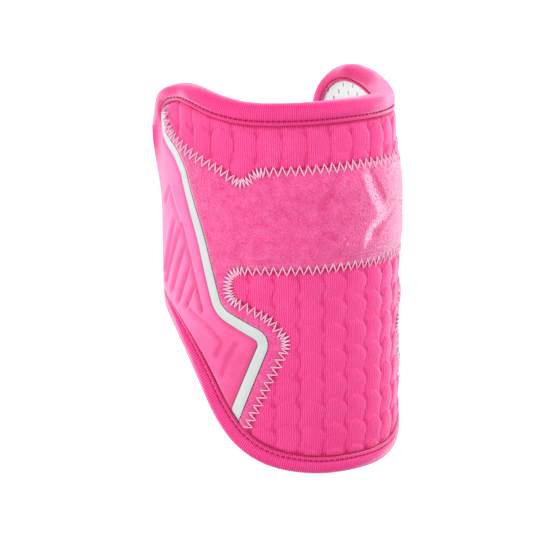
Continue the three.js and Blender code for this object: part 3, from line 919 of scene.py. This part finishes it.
def makeLoopFrame():
    panel = flatBlock("loopFrame", loop["low"], loop["high"], loop["cell"])
    cutAlong(panel, wallOutline(), "INTERSECT")
    cutAlong(panel, besideSeam(upperSeam, -seamGap / 2), "DIFFERENCE")
    cutAlong(panel, besideSeam(lowerSeam, seamGap / 2), "DIFFERENCE")
    beyond = outsideStripe(-1)
    cutAlong(panel, beyond, "DIFFERENCE")
    cutAlong(panel, mirrored(beyond), "DIFFERENCE")
    bend(panel, loopFace, padBack, loop["grain"])
    setMaterials(panel, pinkLoop)
    layPaintedLight(panel)
    finishPiece(panel, "loop_frame")


def makeWing(name, side, node):
    low, high = wing["low"], wing["high"]
    if side < 0:
        low, high = (-high[0], low[1]), (-low[0], high[1])
    panel = flatBlock(name, low, high, wing["cell"])
    cutAlong(panel, wallOutline(), "INTERSECT")
    area = outsideStripe(1)
    cutAlong(panel, area if side > 0 else mirrored(area), "INTERSECT")
    bend(panel, wingFace, padBack)
    setMaterials(panel, pinkPad)
    finishPiece(panel, node)


aboveSeam = besideSeam(upperSeam, seamGap / 2)
belowSeam = besideSeam(lowerSeam, -seamGap / 2)
makeKnitPanel("upperKnit", upperQuilt, aboveSeam, upperKnitFace, "upper_knit_panel")
makeKnitPanel("lowerKnit", lowerQuilt, belowSeam, lowerKnitFace, "lower_knit_panel")
makeLoopFrame()
makeWing("leftWing", -1, "left_wing_pad")
makeWing("rightWing", 1, "right_wing_pad")


# Stripes laid between the frame and the wings
stripe = {"rise": 0.05, "crown": 0.35, "deep": -4.0, "cell": 0.6, "margin": 1.0, "end": (0.3, 1)}


def stripeFace(u, v):
    away, which, part = toSegments(np.abs(u), v, stripeLine[:-1], stripeLine[1:])
    share = np.clip(away / (stripeLine[which, 2] / 2), 0, 1)
    crown = stripe["rise"] - stripe["crown"] * share ** 4
    return underBinding(u, v, armFace(u, v) + seamFall(u, v) + crown)


def stripeBack(u, v):
    return armFace(u, v) + stripe["deep"]


def makeStripe(name, side, node):
    outline = np.concatenate([stripeSide(1, 0), stripeSide(-1, 0)[::-1]])
    if side < 0:
        outline = mirrored(outline)
    low, high = outline.min(0) - stripe["margin"], outline.max(0) + stripe["margin"]
    piece = flatBlock(name, low, high, stripe["cell"])
    cutAlong(piece, outline, "INTERSECT")
    cutAlong(piece, insetEdge(*stripe["end"]), "INTERSECT")
    bend(piece, stripeFace, stripeBack)
    setMaterials(piece, whiteTrim)
    finishPiece(piece, node)


makeStripe("leftStripe", -1, "left_stripe")
makeStripe("rightStripe", 1, "right_stripe")


# Lining: white mesh with slots in staggered rows
lining = {"outer": -8.1, "inner": -9.1, "pitchU": 4.0, "pitchV": 3.5, "slotWide": 0.75, "slotLong": 1.9,
          "slotDeep": 0.6, "lowV": -6.0, "columns": 66, "rows": 53, "wholeShare": 0.95, "offGrid": 0.05}


def selectSlots(piece):
    bpy.ops.object.mode_set(mode="EDIT")
    bpy.ops.mesh.select_mode(type="FACE")
    bpy.ops.mesh.select_all(action="DESELECT")
    bpy.ops.object.mode_set(mode="OBJECT")
    wholeSlot = lining["wholeShare"] * lining["slotWide"] * lining["slotLong"]
    for face in piece.data.polygons:
        column = (face.center.x - lining["slotWide"] / 2) / lining["pitchU"]
        row = (face.center.y - lining["lowV"] - lining["slotLong"] / 2) / lining["pitchV"]
        offGrid = max(abs(column - round(column)), abs(row - round(row)))
        inner = face.normal.z < -0.9 and face.area > wholeSlot and offGrid < lining["offGrid"]
        face.select = inner and (round(column) + round(row)) % 2 == 0


def makeLining():
    piece, column, row = addGrid("meshLining", 2 * lining["columns"], 2 * lining["rows"])
    u = (column // 2 - lining["columns"] // 2) * lining["pitchU"] + column % 2 * lining["slotWide"]
    v = lining["lowV"] + row // 2 * lining["pitchV"] + row % 2 * lining["slotLong"]
    setPoints(piece, np.column_stack([u, v, np.zeros(len(u))]))
    raiseAll(piece, 1)
    cutAlong(piece, wallOutline(), "INTERSECT")
    setMaterials(piece, whiteMesh, slotShade)
    onlyActive(piece)
    selectSlots(piece)
    bpy.ops.object.mode_set(mode="EDIT")
    bpy.ops.mesh.extrude_region_move(TRANSFORM_OT_translate={"value": (0, 0, lining["slotDeep"])})
    piece.active_material_index = 1
    bpy.ops.object.material_slot_assign()
    bpy.ops.mesh.select_mode(type="VERT")
    bpy.ops.object.mode_set(mode="OBJECT")
    bend(piece, levelAt(lining["outer"]), levelAt(lining["inner"]))
    finishPiece(piece, "mesh_lining")


makeLining()


# Binding: one rolled tape round the whole edge, with a stitched groove beside its lip
binding = {"step": 1.6, "width": 8.0, "outerPoints": 14, "reachFrom": (1.5, 6),
           "section": [     # distance in from the edge, height
               (8.0, -2.9), (8.12, -2.2), (7.95, -1.6), (7.55, -1.35), (7.1, -1.45), (6.75, -1.95),
               (6.45, -2.3), (6.1, -2.1), (5.7, -1.55), (5.1, -1.25), (4.2, -1.12), (2.9, -1.2),
               (1.7, -1.55), (0.6, -2.2), (-0.25, -3.1), (-0.8, -4.2), (-1.08, -5.4), (-1.1, -6.6),
               (-0.85, -7.8), (-0.3, -8.9), (0.6, -9.75), (1.8, -10.3), (3.4, -10.6), (4.8, -10.6),
               (5.7, -10.35), (6.2, -9.85), (6.55, -9.8), (6.9, -10.2), (7.4, -10.45), (7.85, -10.3),
               (8.05, -9.95), (8.0, -9.5), (5.6, -9.5), (5.6, -2.9),
           ]}


def evenLoop(step):  # the edge at even steps from its rear, with the distance run
    line = np.roll(edgeLine, -np.argmax(edgeLine[:, 0]), 0)
    closed = np.concatenate([line, line[:1]])
    run = runAlong(closed[:, :2])
    count = round(run[-1] / step)
    at = np.arange(count) * run[-1] / count
    return readAt(at, run, closed), at


def makeBinding():
    line, run = evenLoop(binding["step"])
    inward = leftNormals(line[:, :2], True)
    section = np.array(binding["section"])
    piece, column, row = addGrid("edgeBinding", len(line), len(section))
    i, k = column % len(line), row % len(section)
    away = section[k, 0] * line[i, 2] / binding["width"]
    reach = ease(*binding["reachFrom"], section[k, 0]) * (k < binding["outerPoints"])
    away = away + rearReach(*line[i, :2].T) * reach
    u, v = (line[i, :2] + inward[i] * away[:, None]).T
    setFlat(piece, run[i], away, section[k, 1])
    setPoints(piece, wrap(u, v, section[k, 1]))
    editAll(piece)
    bpy.ops.mesh.remove_doubles(threshold=1e-6)
    bpy.ops.object.mode_set(mode="OBJECT")
    outwardNormals(piece)
    setMaterials(piece, pinkTape)
    finishPiece(piece, "edge_binding", 60)


makeBinding()


# Stitches

def threadMesh(name, lines, radius, material):
    clearSelection()
    curve = bpy.data.curves.new(name, "CURVE")
    curve.dimensions = "3D"
    curve.bevel_depth = radius * mm
    curve.bevel_resolution = 1
    curve.use_fill_caps = True
    for line in lines:
        spline = curve.splines.new("POLY")
        spline.points.add(len(line) - 1)
        spline.points.foreach_set("co", np.column_stack([line, np.ones(len(line))]).ravel())
    piece = bpy.data.objects.new(name, curve)
    scene.collection.objects.link(piece)
    onlyActive(piece)
    bpy.ops.object.convert(target="MESH")
    setMaterials(bpy.context.object, material)
    finishPiece(bpy.context.object, angle=60)


zigzag = {"half": 2.3, "pitch": 4.0, "tight": 1.6, "turnFull": 0.09, "spread": 7.0, "sample": 0.25,
          "thread": 0.25, "lift": 0.2, "arc": 0.5, "uneven": 0.12, "edgeClear": 0.4, "pointStep": 0.25}


def seamPlaces(seam):  # where the needle goes in, closer together round the corners
    run = runAlong(seam)
    at = np.arange(0, run[-1], zigzag["sample"])
    line = readAt(at, run, seam)
    along = np.gradient(line, axis=0)
    turning = np.abs(np.gradient(np.unwrap(np.arctan2(along[:, 1], along[:, 0])), at))
    window = round(zigzag["spread"] / zigzag["sample"])
    turning = np.convolve(turning, np.ones(window) / window, "same")
    tight = np.clip(turning / zigzag["turnFull"], 0, 1)
    pitch = zigzag["pitch"] + (zigzag["tight"] - zigzag["pitch"]) * tight
    needle = np.cumsum(zigzag["sample"] * 2 / pitch)
    places = np.interp(np.arange(1, needle[-1]), needle, at)
    return readAt(places, at, line), readAt(places, at, leftNormals(line, False))


def makeZigzag(name, seam, knitSide, knitFace):
    places, left = seamPlaces(seam[:, :2])
    sides = np.where(np.arange(len(places)) % 2 == 0, 1.0, -1.0)
    reach = zigzag["half"] + np.random.default_rng(7).normal(0, zigzag["uneven"], len(places))
    spots = places + left * (sides * reach)[:, None]
    clear, width = edgeClear(*spots.T)
    kept = clear > width + zigzag["edgeClear"]
    spots, sides = spots[kept], sides[kept]
    height = np.where(sides == knitSide, knitFace(*spots.T), loopFace(*spots.T)) + zigzag["lift"]
    steps = np.arange(0, len(spots) - 1, zigzag["pointStep"])
    order = np.arange(len(spots))
    u, v, n = readAt(steps, order, np.column_stack([spots, height])).T
    n = n + zigzag["arc"] * np.sin(np.pi * (steps % 1))
    threadMesh(name, [wrap(u, v, n)], zigzag["thread"], paleThread)


makeZigzag("upperZigzag", upperSeam, 1, upperKnitFace)
makeZigzag("lowerZigzag", lowerSeam, -1, lowerKnitFace)


topstitch = {"share": 0.805, "dash": 1.5, "pitch": 2.7, "finer": 8, "outer": -2.0, "inner": -10.05,
             "dip": 0.35, "thread": 0.38}


def makeTopstitch(name, height, dip, outer):
    line = evenLoop(topstitch["pitch"] / topstitch["finer"])[0]
    away = line[:, 2] * topstitch["share"] + rearReach(*line[:, :2].T) * outer
    middle = line[:, :2] + leftNormals(line[:, :2], True) * away[:, None]
    run = runAlong(middle)
    sunk = np.array([1, 0, 0, 1])          # a dash goes in at both ends
    dashes = []
    for start in np.arange(0, run[-1] - topstitch["pitch"], topstitch["pitch"]):
        at = start + topstitch["dash"] * np.linspace(0, 1, len(sunk))
        u, v = readAt(at, run, middle).T
        dashes.append(wrap(u, v, height - dip * sunk))
    threadMesh(name, dashes, topstitch["thread"], shadedThread)


makeTopstitch("outerTopstitch", topstitch["outer"], topstitch["dip"], True)
makeTopstitch("innerTopstitch", topstitch["inner"], -topstitch["dip"], False)


# Strap across the open back
strap = {"width": 40.0, "thick": 2.0, "cell": 1.0,
         "rows": [          # angle from the front, radius
             (96, 46.1), (104, 46.1), (111, 45.6), (118, 44.4), (126, 44.3), (130.5, 43.8), (135.5, 40.6),
             (180, 29),
         ]}


def makeStrap():
    angle, radius = np.array(strap["rows"]).T
    half = np.column_stack([radius * np.sin(np.radians(angle)), radius * np.cos(np.radians(angle))])
    line = np.concatenate([half, mirrored(half)[1:]])
    run = runAlong(line)
    columns, rows = round(run[-1] / strap["cell"]), round(strap["width"] / strap["cell"])
    piece, column, row = addGrid("closureStrap", columns, rows)
    at = column / columns * run[-1]
    x, z = readAt(at, run, line).T
    v = pattern["strapLow"] + row / rows * strap["width"]
    setFlat(piece, at, v, np.zeros(len(at)))
    setPoints(piece, np.column_stack([x, v - midV, z + axisHeight]) * mm)
    onlyActive(piece)
    walls = piece.modifiers.new("walls", "SOLIDIFY")
    walls.thickness = strap["thick"] * mm
    walls.offset = 0
    bpy.ops.object.modifier_apply(modifier="walls")
    outwardNormals(piece)
    setMaterials(piece, pinkElastic)
    finishPiece(piece, "closure_strap")
    print("stage: strap is", round(run[-1]), "mm long")


makeStrap()


# Floor and light
studio = {"floorSize": 6.0, "floorColour": (0.5, 0.5, 0.5), "floorRoughness": 0.9, "floorGlow": 0.95,
          "world": 0.42, "lampAim": (0, 0, 0.05),
          "lamps": [        # name, place, size, power
              ("keyLamp", (0.1, -0.05, 1.45), 0.8, 10.7),
              ("rightLamp", (1.2, 0.15, 0.2), 0.6, 7.0),
              ("leftLamp", (-1.15, 0.4, 0.35), 0.6, 6.5),
              ("topLamp", (0.75, 1.2, 0.3), 0.6, 11.5),
          ]}


def makeFloor():
    clearSelection()
    bpy.ops.mesh.primitive_plane_add(size=studio["floorSize"])
    floor = bpy.context.object
    floor.name = "floor"
    material = bpy.data.materials.new("paleFloor")
    material.use_nodes = True
    shader = material.node_tree.nodes["Principled BSDF"]
    shader.inputs["Base Color"].default_value = (*studio["floorColour"], 1)
    shader.inputs["Roughness"].default_value = studio["floorRoughness"]
    shader.inputs["Emission Color"].default_value = (1, 1, 1, 1)
    shader.inputs["Emission Strength"].default_value = studio["floorGlow"]
    floor.data.materials.append(material)


def addLamp(name, place, size, power):
    clearSelection()
    bpy.ops.object.light_add(type="AREA", location=place)
    lamp = bpy.context.object
    lamp.name = name
    lamp.data.size = size
    lamp.data.energy = power
    lamp.rotation_mode = "QUATERNION"
    lamp.rotation_quaternion = (Vector(studio["lampAim"]) - Vector(place)).to_track_quat("-Z", "Y")


makeFloor()
world = bpy.data.worlds.new("studio")
scene.world = world
world.use_nodes = True
world.node_tree.nodes["Background"].inputs["Color"].default_value = (1, 1, 1, 1)
world.node_tree.nodes["Background"].inputs["Strength"].default_value = studio["world"]
for lampRow in studio["lamps"]:
    addLamp(*lampRow)
print("stage: studio")
